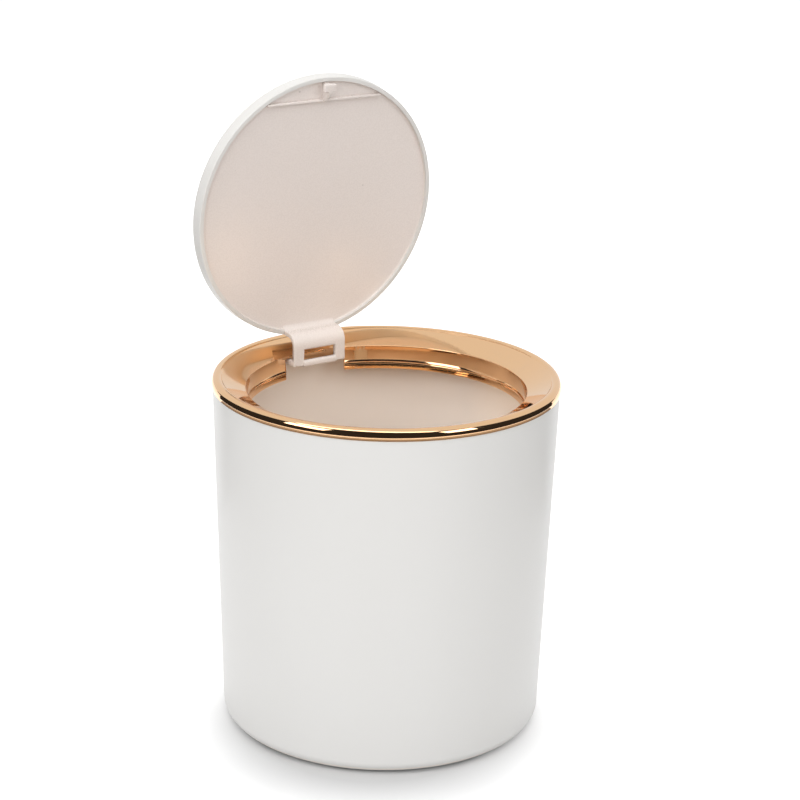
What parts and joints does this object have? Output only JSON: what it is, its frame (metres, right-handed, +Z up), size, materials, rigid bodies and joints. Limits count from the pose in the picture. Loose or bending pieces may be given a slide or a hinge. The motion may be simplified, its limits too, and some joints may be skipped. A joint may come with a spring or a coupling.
{
  "type": "countertop trash can",
  "caption": "Small round countertop trash can with a bright funnel-shaped rim ring and a round press-to-open lid that stands open on a gooseneck hinge.",
  "frame": {"origin": "centre of the pads' underside, on the surface that the can stands on", "axes": "+Z up along the can's axis, +Y towards the hinge at the back, +X to the right seen from the front"},
  "size_m": [0.15, 0.15, 0.2761],
  "materials": {
    "body_white": "satin warm off-white",
    "lid_white": "satin warm off-white",
    "rim_gold": "bright rose-gold plating on plastic",
    "pad_rubber": "matt",
    "steel": "drawn wire, plain",
    "latch_dark": "moulded, matt",
    "latch_white": "moulded, natural"
  },
  "bodies": {
    "bin": {"bin_body": "body_white", "non_slip_pads": "pad_rubber"},
    "rim": {"rim_ring": "rim_gold", "hinge_pin": "steel", "hinge_spring": "steel", "latch_housing": "latch_dark", "latch_cap": "latch_dark", "latch_screws": "steel", "latch_spring": "steel"},
    "lid": {"lid_cover": "lid_white", "lid_panel": "lid_white", "hinge_spring_leg": "steel"},
    "slider": {"latch_slider": "latch_white", "latch_jaw_pins": "steel"},
    "jaw_left": {"latch_jaw_left": "latch_white"},
    "jaw_right": {"latch_jaw_right": "latch_white"},
    "cam_link": {"latch_cam_link": "steel"}
  },
  "joints": [
    {"name": "ring_lift", "type": "slide", "parent": "bin", "child": "rim", "axis": [0, 0, 1], "range_m": [0, 0.03]},
    {"name": "lid_hinge", "type": "hinge", "parent": "rim", "child": "lid", "pos_m": [0, 0.0678, 0.1492], "axis": [1, 0, 0], "range_deg": [0, 84], "stiffness_Nm_per_rad": 0.019, "springref_deg": -35.52},
    {"name": "latch_slide", "type": "slide", "parent": "rim", "child": "slider", "axis": [0, 0, -1], "range_m": [0, 0.002], "stiffness_N_per_m": 300, "springref_m": -0.004, "deforming": ["latch_spring"]},
    {"name": "jaw_left_hinge", "type": "hinge", "parent": "slider", "child": "jaw_left", "pos_m": [-0.0037, -0.0554, 0.1365], "axis": [0, 1, 0], "range_deg": [0, 12]},
    {"name": "jaw_right_hinge", "type": "hinge", "parent": "slider", "child": "jaw_right", "pos_m": [0.0037, -0.0554, 0.1365], "axis": [0, 1, 0], "range_deg": [-12, 0]},
    {"name": "cam_link_hinge", "type": "hinge", "parent": "rim", "child": "cam_link", "pos_m": [0, -0.0515, 0.12446], "axis": [0, 1, 0], "range_deg": [0, 8]}
  ],
  "couplings": [
    {"joint": "jaw_left_hinge", "follows": "latch_slide", "rad_per_m": 104.7},
    {"joint": "jaw_right_hinge", "follows": "latch_slide", "rad_per_m": -104.7},
    {"joint": "cam_link_hinge", "follows": "latch_slide", "rad_per_m": 69.8}
  ]
}
